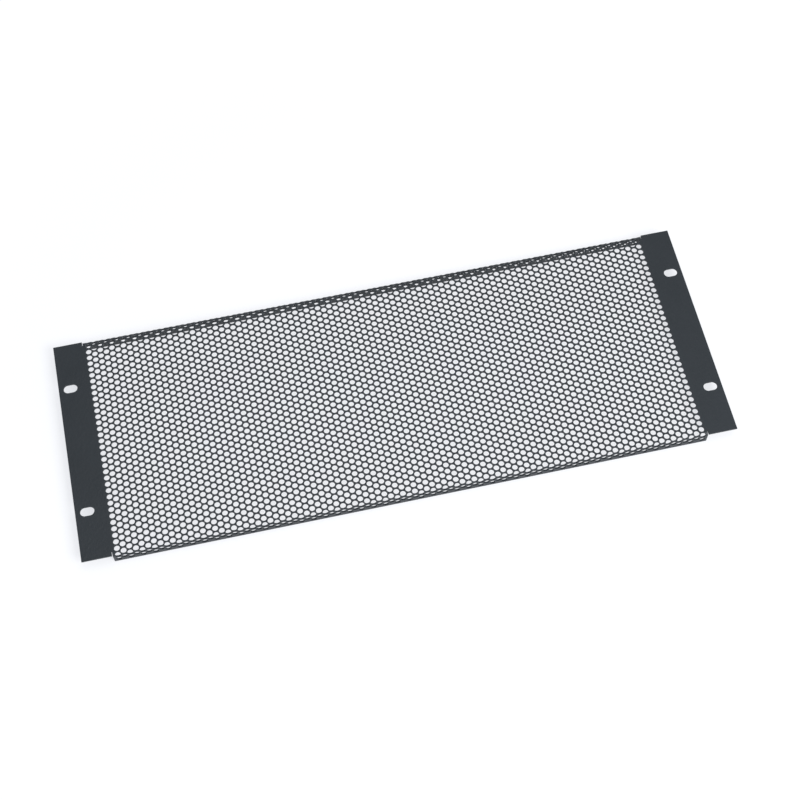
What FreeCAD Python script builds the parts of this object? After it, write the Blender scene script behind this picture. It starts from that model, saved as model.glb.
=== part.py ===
import FreeCAD
import Part
import math
import os

from FreeCAD import Vector

# Vented blanking panel for a 19-inch rack, four units high, made from one steel sheet.
# The middle is perforated, a plain ear with two slots stands at each end, and the long
# edges are folded back behind the face. The panel lies face up as it would on a bench:
# X runs along its length, Y towards its top edge and Z out of its face. Z = 0 is the
# plane of the two folded edges that it lies on, under the middle of the panel.

# Overall size, in millimetres like every size here.
PANEL_LENGTH = 482.6
PANEL_HEIGHT = 177.0
SHEET = 1.2
EAR_WIDTH = 23.7

# The folded edges, called returns, and the notches that part them from the ears.
RETURN_DEPTH = 11.0
BEND_INSIDE_RADIUS = 1.4
RETURN_END_PAST_HOLES = 1.6
NOTCH_WIDTH = 0.4
NOTCH_PAST_BEND = 0.6

# Slots for the rack screws: two in each ear, long along X. The distance from the panel's
# end sets the rack's hole spacing of 465.1.
SLOT_FROM_END = 8.75
SLOT_SPACING_Y = 101.6
SLOT_LENGTH = 10.3
SLOT_WIDTH = 6.8

# The punched pattern: round holes, staggered, with their close rows along Y. The sheet
# has thousands of them, so the solid has the same pattern several times as coarse, as
# hexagons that open the same share of the sheet.
HOLE_DIAMETER = 4.27
WEB_BETWEEN_HOLES = 0.81
COARSENESS = 3.1
RIM_AT_BEND = 1.5
RIM_ON_RETURN = 1.1

half_length = PANEL_LENGTH / 2
half_height = PANEL_HEIGHT / 2
field_half_length = half_length - EAR_WIDTH
return_half_length = field_half_length + RETURN_END_PAST_HOLES

# The front is flat between the lines where the two bends start.
bend_outside_radius = BEND_INSIDE_RADIUS + SHEET
bend_line_y = half_height - bend_outside_radius
bend_line_z = RETURN_DEPTH - bend_outside_radius
front_back_z = RETURN_DEPTH - SHEET

# Modelled hexagons, flat towards their neighbours along Y and pointed along X.
hole_pitch = HOLE_DIAMETER + WEB_BETWEEN_HOLES
open_share = math.pi * HOLE_DIAMETER**2 / (2 * math.sqrt(3) * hole_pitch**2)
coarse_pitch = COARSENESS * hole_pitch
hexagon_height = coarse_pitch * math.sqrt(open_share)
hexagon_width = hexagon_height * 2 / math.sqrt(3)
coarse_web = coarse_pitch - hexagon_height


def hexagon(place, width, height):
    """Hexagon wire, pointed along X, with sides at 60 degrees. place makes a 3-D point."""
    half_flat = width / 2 - height / (2 * math.sqrt(3))
    corners = [
        (width / 2, 0),
        (half_flat, height / 2),
        (-half_flat, height / 2),
        (-width / 2, 0),
        (-half_flat, -height / 2),
        (half_flat, -height / 2),
        (width / 2, 0),
    ]
    return Part.makePolygon([place(along, across) for along, across in corners])


def slot(x, y, z):
    """Wire of one screw slot: two straight sides and two round ends."""
    radius = SLOT_WIDTH / 2
    half_straight = SLOT_LENGTH / 2 - radius
    right_end = Part.Arc(
        Vector(x + half_straight, y - radius, z),
        Vector(x + half_straight + radius, y, z),
        Vector(x + half_straight, y + radius, z),
    )
    left_end = Part.Arc(
        Vector(x - half_straight, y + radius, z),
        Vector(x - half_straight - radius, y, z),
        Vector(x - half_straight, y - radius, z),
    )
    top_side = Part.LineSegment(right_end.EndPoint, left_end.StartPoint)
    bottom_side = Part.LineSegment(left_end.EndPoint, right_end.StartPoint)
    return Part.Wire([side.toShape() for side in (right_end, top_side, left_end, bottom_side)])


def plate(outline, holes, thickness):
    """Flat sheet with the outline and the holes, thickened along the vector.

    Outline and holes all run counter-clockwise, so the holes are turned round."""
    return Part.Face([outline] + [hole.reversed() for hole in holes]).extrude(thickness)


def column_places():
    """X of each column of holes, evenly spaced over the field, the same at both ends."""
    span = 2 * field_half_length - hexagon_width
    pairs = max(1, round(span / (coarse_pitch * math.sqrt(3))))
    step = span / (2 * pairs)
    return [index * step - span / 2 for index in range(2 * pairs + 1)]


def front_centres():
    """Centre of each hole in the front. Every second column is shifted by half a step."""
    span = 2 * (bend_line_y - RIM_AT_BEND) - hexagon_height
    steps = max(1, round(span / coarse_pitch))
    step = span / steps
    centres = []
    for column, x in enumerate(column_places()):
        shifted = column % 2
        for row in range(steps + 1 - shifted):
            centres.append((x, (row + shifted / 2) * step - span / 2))
    return centres


def front_outline():
    """Edge of the flat front: square ear corners and a notch beside each return's end."""
    notch_side_x = return_half_length + NOTCH_WIDTH
    notch_root_y = bend_line_y - NOTCH_PAST_BEND
    corner = [
        (half_length, half_height),
        (notch_side_x, half_height),
        (notch_side_x, notch_root_y),
        (return_half_length, notch_root_y),
        (return_half_length, bend_line_y),
    ]
    top = corner + [(-x, y) for x, y in reversed(corner)]
    around = top + [(x, -y) for x, y in reversed(top)] + top[:1]
    return Part.makePolygon([Vector(x, y, front_back_z) for x, y in around])


def front():
    """Flat front with its perforated field and both slotted ears."""
    holes = []
    slot_x = half_length - SLOT_FROM_END
    for x in (-slot_x, slot_x):
        for y in (-SLOT_SPACING_Y / 2, SLOT_SPACING_Y / 2):
            holes.append(slot(x, y, front_back_z))
    for x, y in front_centres():
        holes.append(hexagon(
            lambda along, across: Vector(x + along, y + across, front_back_z),
            hexagon_width,
            hexagon_height,
        ))
    return plate(front_outline(), holes, Vector(0, 0, SHEET))


def bend(side):
    """Quarter ring that turns the front into a return, at the top (1) or bottom (-1)."""
    def on_arc(radius, degrees):
        angle = math.radians(degrees)
        y = bend_line_y + radius * math.sin(angle)
        z = bend_line_z + radius * math.cos(angle)
        return Vector(-return_half_length, side * y, z)

    outside = Part.Arc(*[on_arc(bend_outside_radius, degrees) for degrees in (0, 45, 90)])
    inside = Part.Arc(*[on_arc(BEND_INSIDE_RADIUS, degrees) for degrees in (90, 45, 0)])
    to_inside = Part.LineSegment(outside.EndPoint, inside.StartPoint)
    to_outside = Part.LineSegment(inside.EndPoint, outside.StartPoint)
    profile = Part.Wire([edge.toShape() for edge in (outside, to_inside, inside, to_outside)])
    return Part.Face(profile).extrude(Vector(2 * return_half_length, 0, 0))


def folded_back(side):
    """Flat return behind one long edge, with one row of holes behind the front's columns."""
    y = side * half_height
    outline = Part.makePolygon([
        Vector(-return_half_length, y, 0),
        Vector(return_half_length, y, 0),
        Vector(return_half_length, y, bend_line_z),
        Vector(-return_half_length, y, bend_line_z),
        Vector(-return_half_length, y, 0),
    ])
    columns = column_places()
    hole_width = columns[1] - columns[0] - coarse_web
    hole_height = bend_line_z - 2 * RIM_ON_RETURN
    holes = []
    for x in columns:
        holes.append(hexagon(
            lambda along, across: Vector(x + along, y, bend_line_z / 2 + across),
            hole_width,
            hole_height,
        ))
    return plate(outline, holes, Vector(0, -side * SHEET, 0))


def panel():
    """The whole folded sheet, joined where its flats and bends meet."""
    long_edges = [make(side) for side in (1, -1) for make in (bend, folded_back)]
    return front().fuse(long_edges).removeSplitter()


os.makedirs("parts", exist_ok=True)
panel().exportStep("parts/vent_panel.step")
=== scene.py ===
import math

import bmesh
import bpy
import numpy as np
from mathutils import Matrix


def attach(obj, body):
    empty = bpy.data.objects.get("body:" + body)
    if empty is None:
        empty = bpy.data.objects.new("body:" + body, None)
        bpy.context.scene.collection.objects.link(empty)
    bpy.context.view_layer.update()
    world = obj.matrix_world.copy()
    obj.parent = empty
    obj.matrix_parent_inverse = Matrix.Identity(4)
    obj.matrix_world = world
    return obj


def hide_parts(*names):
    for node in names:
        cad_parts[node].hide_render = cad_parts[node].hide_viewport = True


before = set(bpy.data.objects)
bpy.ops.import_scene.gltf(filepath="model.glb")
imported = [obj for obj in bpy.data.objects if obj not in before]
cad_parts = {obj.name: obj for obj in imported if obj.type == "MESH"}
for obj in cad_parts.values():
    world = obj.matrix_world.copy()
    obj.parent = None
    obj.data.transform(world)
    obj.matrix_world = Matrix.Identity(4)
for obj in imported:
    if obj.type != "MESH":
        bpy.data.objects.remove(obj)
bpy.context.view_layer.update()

# Vented middle: the perforated part of the one steel sheet, punched with about 3,700 round
# holes in staggered columns and then folded back along both long edges, so that the holes
# run on over the bends. It is drawn in three lengths whose seams run through the webs.
MM_IN_METRE = 1000
PANEL_LENGTH = 482.6
PANEL_HEIGHT = 177.0
SHEET = 1.2
FOLD_DEPTH = 11.0
BEND_INSIDE = 1.4
BEND_OUTSIDE = BEND_INSIDE + SHEET
BEND_MIDDLE = BEND_INSIDE + SHEET / 2
BEND_START = PANEL_HEIGHT / 2 - BEND_OUTSIDE
BEND_STEPS = 6
UNFOLDED_REACH = BEND_START + BEND_MIDDLE * math.pi / 2 + FOLD_DEPTH - BEND_OUTSIDE
EAR_WIDTH = 23.7
FOLD_PAST_HOLES = 1.6
FOLD_END = PANEL_LENGTH / 2 - EAR_WIDTH + FOLD_PAST_HOLES
EASED_EDGE = 0.15
HOLE_RADIUS = 4.27 / 2
HOLE_CORNERS = 12
HOLE_PITCH = 5.08
HOLE_COLUMNS = 99
COLUMN_STEP = (PANEL_LENGTH - 2 * EAR_WIDTH - 2 * HOLE_RADIUS) / (HOLE_COLUMNS - 1)
ROWS_RAISED = 0.5
QUARTERS_TO_LAST_HOLE = 74
QUARTERS_TO_LAST_LEVEL = 76
SMOOTH_BELOW = math.radians(40)
SAME_POINT = 1e-5
LEAST_LENGTH_SQUARED = 1e-9


def ring_steps(half_i, half_j):
    """Grid steps from a block's middle to each point of its edge, half_i by half_j quads away.

    The walk starts at the middle of the right side and goes round counter-clockwise."""
    turns = np.cumsum([0, half_j, 2 * half_i, 2 * half_j, 2 * half_i, half_j])
    walked = np.arange(turns[-1])
    right_left = [half_i, half_i, -half_i, -half_i, half_i, half_i]
    up_down = [0, half_j, half_j, -half_j, -half_j, 0]
    steps_i = np.rint(np.interp(walked, turns, right_left)).astype(int)
    steps_j = np.rint(np.interp(walked, turns, up_down)).astype(int)
    return steps_i, steps_j


def pierced_grid(x, s, i, j, half_i, half_j, outline, is_sheet):
    """Flat grid of quads over the points (x, s), with a hole round each grid point (i, j).

    A hole's edge is its grid point plus the outline. The quads around it, half_i to each
    side and half_j up and down, give way to one ring of quads that runs from the edge of
    that block to the hole's edge. is_sheet marks the quads that are there at all."""
    index = np.arange(x.size).reshape(x.shape)
    steps_i, steps_j = ring_steps(half_i, half_j)
    block = index[i[:, None] + steps_i, j[:, None] + steps_j]
    hole = x.size + np.arange(block.size).reshape(block.shape)
    rings = np.stack([block, np.roll(block, -1, 1), np.roll(hole, -1, 1), hole], -1)
    left_alone = is_sheet.copy()
    quads_i = i[:, None, None] + np.arange(-half_i, half_i)[:, None]
    quads_j = j[:, None, None] + np.arange(-half_j, half_j)
    left_alone[quads_i, quads_j] = False
    plain = np.stack([index[:-1, :-1], index[1:, :-1], index[1:, 1:], index[:-1, 1:]], -1)
    quads = np.concatenate([plain[left_alone], rings.reshape(-1, 4)])
    centres = np.stack([x[i, j], s[i, j]], -1)
    edge_points = (centres[:, None] + outline).reshape(-1, 2)
    points = np.concatenate([np.stack([x.ravel(), s.ravel()], -1), edge_points])
    return points, quads


def thicken(points, quads, joined):
    """Closed sheet under a flat skin of quads, with the front edge of each cut eased.

    At an open edge the skin's border runs down and out by EASED_EDGE, along the sum of the
    outward normals of the two edges that meet there, then straight down to the back. joined
    marks the points where the sheet goes on in the next piece, and there it stays upright."""
    used = np.unique(quads)
    points = points[used]
    joined = joined[used]
    quads = np.searchsorted(used, quads)
    count = len(points)
    starts = quads.ravel()
    ends = np.roll(quads, -1, 1).ravel()
    is_open = ~np.isin(starts * count + ends, ends * count + starts)
    starts = starts[is_open]
    ends = ends[is_open]
    along = points[ends] - points[starts]
    outward = np.stack([along[:, 1], -along[:, 0]], -1)
    outward /= np.linalg.norm(outward, axis=1)[:, None]
    is_cut = ~(joined[starts] & joined[ends])
    normal_sum = np.zeros((count, 2))
    normals = np.zeros((count, 1))
    for corner in (starts[is_cut], ends[is_cut]):
        np.add.at(normal_sum, corner, outward[is_cut])
        np.add.at(normals, corner, 1)
    length_squared = np.maximum((normal_sum**2).sum(1), LEAST_LENGTH_SQUARED)[:, None]
    offset = EASED_EDGE * normals * normal_sum / length_squared
    offset[joined, 0] = 0
    border = np.unique(starts)
    rim = np.zeros(count, int)
    rim[border] = 2 * count + np.arange(len(border))
    spread = points + offset
    flat = np.concatenate([points, spread, spread[border]])
    depth = np.repeat([0, SHEET, EASED_EDGE], [count, count, len(border)])
    faces = np.concatenate([
        quads,
        quads[:, ::-1] + count,
        np.stack([starts, rim[starts], rim[ends], ends], -1),
        np.stack([rim[starts], starts + count, ends + count, rim[ends]], -1),
    ])
    return np.column_stack([flat, -depth]), faces


def vented_length(first_column, end_column):
    """Flat sheet with the holes of the columns from first_column up to end_column.

    Its grid has levels a quarter of the hole pitch apart. An odd column has holes at the
    middle level and at every fourth one from it, and an even column halfway between those.
    The grid's lines run through each column and, in a zigzag, between two columns, so that
    each hole has a hexagonal cell: the zigzag is the hole pitch over the square root of 3
    away from a hole at the hole's own level, and half as far half a pitch up or down."""
    lines = np.arange(2 * first_column, 2 * end_column + 1)
    zigzag = HOLE_PITCH / math.sqrt(3) - COLUMN_STEP / 2
    between = (lines % 2 == 0) * np.where(lines % 4 == 0, zigzag, -zigzag)
    quarters = np.arange(-QUARTERS_TO_LAST_LEVEL, QUARTERS_TO_LAST_LEVEL + 1)
    levels = np.concatenate([
        [EASED_EDGE - UNFOLDED_REACH],
        quarters * HOLE_PITCH / 4 + ROWS_RAISED,
        [UNFOLDED_REACH - EASED_EDGE],
    ])
    level_number = np.arange(-QUARTERS_TO_LAST_LEVEL - 1, QUARTERS_TO_LAST_LEVEL + 2)
    sway = np.cos(level_number * math.pi / 2)
    sway[[0, -1]] = 0
    x = ((lines - HOLE_COLUMNS) * COLUMN_STEP / 2)[:, None] + between[:, None] * sway
    x[lines == 0] = -FOLD_END
    x[lines == 2 * HOLE_COLUMNS] = FOLD_END
    s = np.broadcast_to(levels, x.shape)
    column, quarter = np.meshgrid(np.arange(first_column, end_column), quarters, indexing="ij")
    has_hole = (quarter % 4 == 2 - 2 * (column % 2)) & (np.abs(quarter) <= QUARTERS_TO_LAST_HOLE)
    hole_i = 2 * (column[has_hole] - first_column) + 1
    hole_j = quarter[has_hole] + QUARTERS_TO_LAST_LEVEL + 1
    turn = np.arange(HOLE_CORNERS) * 2 * math.pi / HOLE_CORNERS
    round_hole = (HOLE_RADIUS + EASED_EDGE) * np.stack([np.cos(turn), np.sin(turn)], -1)
    is_sheet = np.ones((x.shape[0] - 1, x.shape[1] - 1), bool)
    points, quads = pierced_grid(x, s, hole_i, hole_j, 1, 2, round_hole, is_sheet)
    # The sheet goes on past its first and its last grid line.
    joined = np.zeros(len(points), bool)
    joined[:x.shape[1]] = True
    joined[x.size - x.shape[1]:x.size] = True
    return thicken(points, quads, joined)


def fold_back(sheet):
    """Turns the sheet's long edges back through a quarter round, about their bend lines.

    A point at s along the flat sheet and w under its skin has turned by the angle a, which
    is its distance past the bend line over BEND_MIDDLE, up to 90 degrees. It lies at
    y = bend line + (BEND_OUTSIDE - w) sin a, and its z is the bend's centre plus
    (BEND_OUTSIDE - w) cos a, less what is left of the distance after the bend."""
    x, s, minus_w = sheet.T
    past = np.maximum(np.abs(s) - BEND_START, 0)
    angle = np.minimum(past / BEND_MIDDLE, math.pi / 2)
    radius = BEND_OUTSIDE + minus_w
    y = np.minimum(np.abs(s), BEND_START) + radius * np.sin(angle)
    z = FOLD_DEPTH - BEND_OUTSIDE + radius * np.cos(angle) - (past - BEND_MIDDLE * angle)
    return np.column_stack([x, np.sign(s) * y, z])


def cut_along(mesh, lines):
    """Cuts every face of a flat sheet at these distances across it, so that it can bend."""
    cutter = bmesh.new()
    cutter.from_mesh(mesh)
    for line in lines:
        everything = cutter.verts[:] + cutter.edges[:] + cutter.faces[:]
        bmesh.ops.bisect_plane(
            cutter, geom=everything, dist=SAME_POINT, plane_co=(0, line, 0), plane_no=(0, 1, 0)
        )
    cutter.to_mesh(mesh)
    cutter.free()


def sheet_piece(name, sheet, faces, bend_lines=()):
    """Object from a flat sheet in millimetres, raised to the face's plane or folded back."""
    mesh = bpy.data.meshes.new(name)
    mesh.from_pydata(sheet.tolist(), [], faces.tolist())
    cut_along(mesh, bend_lines)
    flat = np.empty(3 * len(mesh.vertices))
    mesh.vertices.foreach_get("co", flat)
    flat = flat.reshape(-1, 3)
    placed = fold_back(flat) if len(bend_lines) else flat + [0, 0, FOLD_DEPTH]
    mesh.vertices.foreach_set("co", placed.ravel() / MM_IN_METRE)
    mesh.shade_smooth()
    mesh.set_sharp_from_angle(angle=SMOOTH_BELOW)
    mesh.update()
    piece = bpy.data.objects.new(name, mesh)
    bpy.context.scene.collection.objects.link(piece)
    return piece


def linear(code):
    """Linear colour from an sRGB hex code such as "4a5058", by the sRGB curve."""
    channels = [int(code[place:place + 2], 16) / 255 for place in (0, 2, 4)]
    return [c / 12.92 if c <= 0.04045 else ((c + 0.055) / 1.055) ** 2.4 for c in channels] + [1]


def node(tree, kind, settings=None, links=None):
    """Adds a node. settings gives its sockets' or its own values, links what feeds it."""
    added = tree.nodes.new(kind)
    for name, value in (settings or {}).items():
        if isinstance(name, int) or name in added.inputs:
            added.inputs[name].default_value = value
        else:
            setattr(added, name, value)
    for name, source in (links or {}).items():
        tree.links.new(source, added.inputs[name])
    return added


# Satin polyester powder coat, sprayed as charcoal powder and baked. It gives the eye a nearly
# black grey with a soft broad shine, a faint orange peel of bumps about 2 mm apart where the
# powder flowed out, and a grain. To show, both are drawn higher and the grain coarser.
POWDER_DARK = "242b31"
POWDER_LIGHT = "2a3138"
COAT_IOR = 1.5
SMOOTHEST = 0.42
ROUGHEST = 0.54
MOTTLE_MM = 30
ORANGE_PEEL_MM = 2.0
ORANGE_PEEL_HEIGHT_MM = 0.20
GRAIN_MM = 0.6
GRAIN_HEIGHT_MM = 0.06

powder_coat = bpy.data.materials.new("satin_charcoal_powder_coat")
powder_coat.use_nodes = True
coat = powder_coat.node_tree
coat.nodes.clear()
on_panel = node(coat, "ShaderNodeTexCoord").outputs["Object"]
mottle = node(
    coat,
    "ShaderNodeTexNoise",
    {"Scale": MM_IN_METRE / MOTTLE_MM, "Detail": 3.0},
    {"Vector": on_panel},
)
coat_colour = node(
    coat,
    "ShaderNodeMix",
    {"data_type": "RGBA", 6: linear(POWDER_DARK), 7: linear(POWDER_LIGHT)},
    {0: mottle.outputs["Fac"]},
)
coat_roughness = node(
    coat,
    "ShaderNodeMapRange",
    {"To Min": SMOOTHEST, "To Max": ROUGHEST},
    {"Value": mottle.outputs["Fac"]},
)
orange_peel = node(
    coat,
    "ShaderNodeTexNoise",
    {"Scale": MM_IN_METRE / ORANGE_PEEL_MM, "Detail": 1.0},
    {"Vector": on_panel},
)
grain = node(
    coat,
    "ShaderNodeTexNoise",
    {"Scale": MM_IN_METRE / GRAIN_MM, "Detail": 1.0},
    {"Vector": on_panel},
)
peel_bump = node(
    coat,
    "ShaderNodeBump",
    {"Distance": ORANGE_PEEL_HEIGHT_MM / MM_IN_METRE},
    {"Height": orange_peel.outputs["Fac"]},
)
grain_bump = node(
    coat,
    "ShaderNodeBump",
    {"Distance": GRAIN_HEIGHT_MM / MM_IN_METRE},
    {"Height": grain.outputs["Fac"], "Normal": peel_bump.outputs["Normal"]},
)
coat_shader = node(
    coat,
    "ShaderNodeBsdfPrincipled",
    {"IOR": COAT_IOR, "Metallic": 0.0},
    {
        "Base Color": coat_colour.outputs[2],
        "Roughness": coat_roughness.outputs["Result"],
        "Normal": grain_bump.outputs["Normal"],
    },
)
node(coat, "ShaderNodeOutputMaterial", {}, {"Surface": coat_shader.outputs["BSDF"]})


def finish_piece(piece):
    """Coats the piece and tells the frame what it is part of."""
    piece.data.materials.append(powder_coat)
    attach(piece, "root")
    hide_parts("vent_panel")


fold_lines = BEND_START + BEND_MIDDLE * np.radians(np.linspace(0, 90, BEND_STEPS + 1))
both_folds = np.concatenate([-fold_lines, fold_lines])
third = HOLE_COLUMNS // 3
for number, name in enumerate(("vented_left", "vented_middle", "vented_right")):
    sheet, faces = vented_length(number * third, (number + 1) * third)
    finish_piece(sheet_piece(name, sheet, faces, both_folds))

# Ears: the plain ends of the same sheet, which lie against the rack's rails. Each has two
# punched slots for the rack's screws, long across the panel, and a fine notch beside the end
# of each fold that lets the fold bend without tearing the ear.
NOTCH_WIDTH = 0.4
NOTCH_PAST_BEND = 0.6
NOTCH_ROOT = BEND_START - NOTCH_PAST_BEND
SLOT_FROM_END = 8.75
SLOT_X = PANEL_LENGTH / 2 - SLOT_FROM_END
SLOT_Y = 101.6 / 2
SLOT_RADIUS = 6.8 / 2
SLOT_HALF_STRAIGHT = 10.3 / 2 - SLOT_RADIUS
QUARTER_TURN_STEPS = 8
STRAIGHT_STEPS = 4
LINES_BESIDE_SLOT = np.array([0.9, 1.8, 3.0, 4.2, 5.3, 6.3])
LEVELS_OVER_SLOT = np.array([1.3, 2.6, 3.8, 4.8])
LEVELS_BETWEEN_SLOTS = [8.0, 25.0]
LEVEL_OUTSIDE_SLOTS = 70.0

slot_parts = [QUARTER_TURN_STEPS, STRAIGHT_STEPS, 2 * QUARTER_TURN_STEPS]
slot_parts += [STRAIGHT_STEPS, QUARTER_TURN_STEPS]
slot_corners = np.cumsum([0] + slot_parts)
slot_walk = np.arange(slot_corners[-1])
slot_turn = np.radians(np.interp(slot_walk, slot_corners, [0, 90, 90, 270, 270, 360]))
slot_side = np.interp(slot_walk, slot_corners, [1, 1, -1, -1, 1, 1])
slot_edge = (SLOT_RADIUS + EASED_EDGE) * np.stack([np.cos(slot_turn), np.sin(slot_turn)], -1)
slot_edge[:, 0] += SLOT_HALF_STRAIGHT * slot_side
ear_x = np.concatenate([
    [FOLD_END, FOLD_END + NOTCH_WIDTH + EASED_EDGE],
    SLOT_X - LINES_BESIDE_SLOT[::-1],
    [SLOT_X],
    SLOT_X + LINES_BESIDE_SLOT,
    [PANEL_LENGTH / 2 - EASED_EDGE],
])
upper_levels = np.concatenate([
    LEVELS_BETWEEN_SLOTS,
    SLOT_Y - LEVELS_OVER_SLOT[::-1],
    [SLOT_Y],
    SLOT_Y + LEVELS_OVER_SLOT,
    [LEVEL_OUTSIDE_SLOTS, NOTCH_ROOT - EASED_EDGE, PANEL_HEIGHT / 2 - EASED_EDGE],
])
ear_levels = np.concatenate([-upper_levels[::-1], upper_levels])
x, s = np.meshgrid(ear_x, ear_levels, indexing="ij")
is_sheet = np.ones((len(ear_x) - 1, len(ear_levels) - 1), bool)
is_sheet[0, [0, -1]] = False
slot_i = np.full(2, np.argmin(np.abs(ear_x - SLOT_X)))
slot_j = np.array([np.argmin(np.abs(ear_levels - y)) for y in (-SLOT_Y, SLOT_Y)])
half_i = len(LINES_BESIDE_SLOT)
half_j = len(LEVELS_OVER_SLOT)
points, quads = pierced_grid(x, s, slot_i, slot_j, half_i, half_j, slot_edge, is_sheet)
sheet, faces = thicken(points, quads, points[:, 0] == FOLD_END)
finish_piece(sheet_piece("ear_right", sheet, faces))
sheet[:, 0] *= -1
finish_piece(sheet_piece("ear_left", sheet, faces[:, ::-1]))

# Studio: a white paper sweep under soft lamps. The paper keeps the panel's shadow. What
# the camera and reflections see of it glows in part, so that it reads as white, and far
# from the panel it glows wholly, so that it runs into the sky with no edge.
FLOOR_SIZE = 8.0
PAPER_WHITE = "f4f4f4"
PAPER_GLOW = 1.19
# The glow is faintly blue. It shows only where the paper lies in shade, so it is a painted blue
# tint in the panel's shadow.
GLOW_TINT = "f8faff"
GLOW_SHARE = 0.62
SHADED_WITHIN = 0.28
WHOLE_GLOW_FROM = 0.9
SKY_WHITE = "ffffff"
SKY_LIGHT = 0.44
WHITE_BELOW_HEIGHT = 0.15
CEILING_FROM_HEIGHT = 0.75
CEILING_SEEN = 0.25
SOFTBOX_SIZE = 0.9
KEY_PLACE = (0.8, -1.2, 1.4)
KEY_WATTS = 24
TOP_PLACE = (0.1, 0.1, 1.5)
TOP_WATTS = 4

corners = np.array([[-1, -1, 0], [1, -1, 0], [1, 1, 0], [-1, 1, 0]]) * FLOOR_SIZE / 2
floor_mesh = bpy.data.meshes.new("floor")
floor_mesh.from_pydata(corners.tolist(), [], [[0, 1, 2, 3]])
floor = bpy.data.objects.new("floor", floor_mesh)
bpy.context.scene.collection.objects.link(floor)


def seen_directly(tree):
    """1 for a ray from the camera, a mirror or glass, and 0 for one that only lights."""
    ray = node(tree, "ShaderNodeLightPath")
    camera_or_mirror = node(
        tree,
        "ShaderNodeMath",
        {"operation": "MAXIMUM"},
        {0: ray.outputs["Is Camera Ray"], 1: ray.outputs["Is Glossy Ray"]},
    )
    with_glass = node(
        tree,
        "ShaderNodeMath",
        {"operation": "MAXIMUM"},
        {0: camera_or_mirror.outputs[0], 1: ray.outputs["Is Transmission Ray"]},
    )
    return with_glass.outputs[0]


paper = bpy.data.materials.new("matt_white_paper")
paper.use_nodes = True
sweep = paper.node_tree
sweep.nodes.clear()
paper_surface = node(sweep, "ShaderNodeBsdfDiffuse", {"Color": linear(PAPER_WHITE)})
# This glow carries the faint blue that is painted into the paper's shade.
paper_glow = node(
    sweep, "ShaderNodeEmission", {"Color": linear(GLOW_TINT), "Strength": PAPER_GLOW}
)
on_floor = node(sweep, "ShaderNodeTexCoord").outputs["Object"]
distance = node(sweep, "ShaderNodeVectorMath", {"operation": "LENGTH"}, {0: on_floor})
glow_there = node(
    sweep,
    "ShaderNodeMapRange",
    {"From Min": SHADED_WITHIN, "From Max": WHOLE_GLOW_FROM, "To Min": GLOW_SHARE},
    {"Value": distance.outputs["Value"]},
)
glow_share = node(
    sweep,
    "ShaderNodeMath",
    {"operation": "MULTIPLY"},
    {0: seen_directly(sweep), 1: glow_there.outputs["Result"]},
)
lit_paper = node(
    sweep,
    "ShaderNodeMixShader",
    {},
    {0: glow_share.outputs[0], 1: paper_surface.outputs[0], 2: paper_glow.outputs[0]},
)
node(sweep, "ShaderNodeOutputMaterial", {}, {"Surface": lit_paper.outputs[0]})
floor_mesh.materials.append(paper)

# The sky looks white low down and darker overhead, as a studio's ceiling does, and so it
# does in the coat's shine. As a light it is even all round.
world = bpy.data.worlds.new("studio")
world.use_nodes = True
bpy.context.scene.world = world
sky = world.node_tree
sky.nodes.clear()
direction = node(sky, "ShaderNodeTexCoord").outputs["Generated"]
height = node(sky, "ShaderNodeSeparateXYZ", {}, {"Vector": direction}).outputs["Z"]
seen_sky = node(
    sky,
    "ShaderNodeMapRange",
    {
        "From Min": WHITE_BELOW_HEIGHT,
        "From Max": CEILING_FROM_HEIGHT,
        "To Min": 1.0,
        "To Max": CEILING_SEEN,
    },
    {"Value": height},
)
sky_strength = node(
    sky,
    "ShaderNodeMix",
    {"data_type": "FLOAT", 2: SKY_LIGHT},
    {0: seen_directly(sky), 3: seen_sky.outputs["Result"]},
)
sky_light = node(
    sky,
    "ShaderNodeBackground",
    {"Color": linear(SKY_WHITE)},
    {"Strength": sky_strength.outputs[0]},
)
node(sky, "ShaderNodeOutputWorld", {}, {"Surface": sky_light.outputs[0]})


def softbox(name, place, watts):
    """Square area lamp at a place, with its face towards the middle of the panel."""
    lamp = bpy.data.lights.new(name, "AREA")
    lamp.size = SOFTBOX_SIZE
    lamp.energy = watts
    box = bpy.data.objects.new(name, lamp)
    bpy.context.scene.collection.objects.link(box)
    back = np.array(place) / np.linalg.norm(place)
    right = np.cross([0.0, 1.0, 0.0], back)
    right /= np.linalg.norm(right)
    up = np.cross(back, right)
    turned = Matrix(np.column_stack([right, up, back]).tolist()).to_4x4()
    turned.translation = place
    box.matrix_world = turned


softbox("key_softbox", KEY_PLACE, KEY_WATTS)
softbox("top_softbox", TOP_PLACE, TOP_WATTS)

# Camera: where it stood for the photo, a metre up, half a metre out from the panel's middle
# past its lower edge and a little to the left, with a lens of about 70 mm. Its axes are
# given as right, up and back.
CAMERA_PLACE = (-0.09715, -0.52738, 1.03200)
CAMERA_RIGHT = (0.97705, -0.21285, -0.00958)
CAMERA_UP = (0.19355, 0.86789, 0.45752)
CAMERA_BACK = (-0.08907, -0.44887, 0.88916)
LENS_MM = 69.77
SENSOR_MM = 36
NEAR_CLIP = 0.01

lens = bpy.data.cameras.new("camera")
lens.lens = LENS_MM
lens.sensor_width = SENSOR_MM
lens.clip_start = NEAR_CLIP
camera = bpy.data.objects.new("camera", lens)
bpy.context.scene.collection.objects.link(camera)
axes = np.column_stack([CAMERA_RIGHT, CAMERA_UP, CAMERA_BACK])
camera.matrix_world = Matrix(axes.tolist()).to_4x4()
camera.location = CAMERA_PLACE
bpy.context.scene.camera = camera

bpy.context.scene.view_settings.view_transform = "Standard"
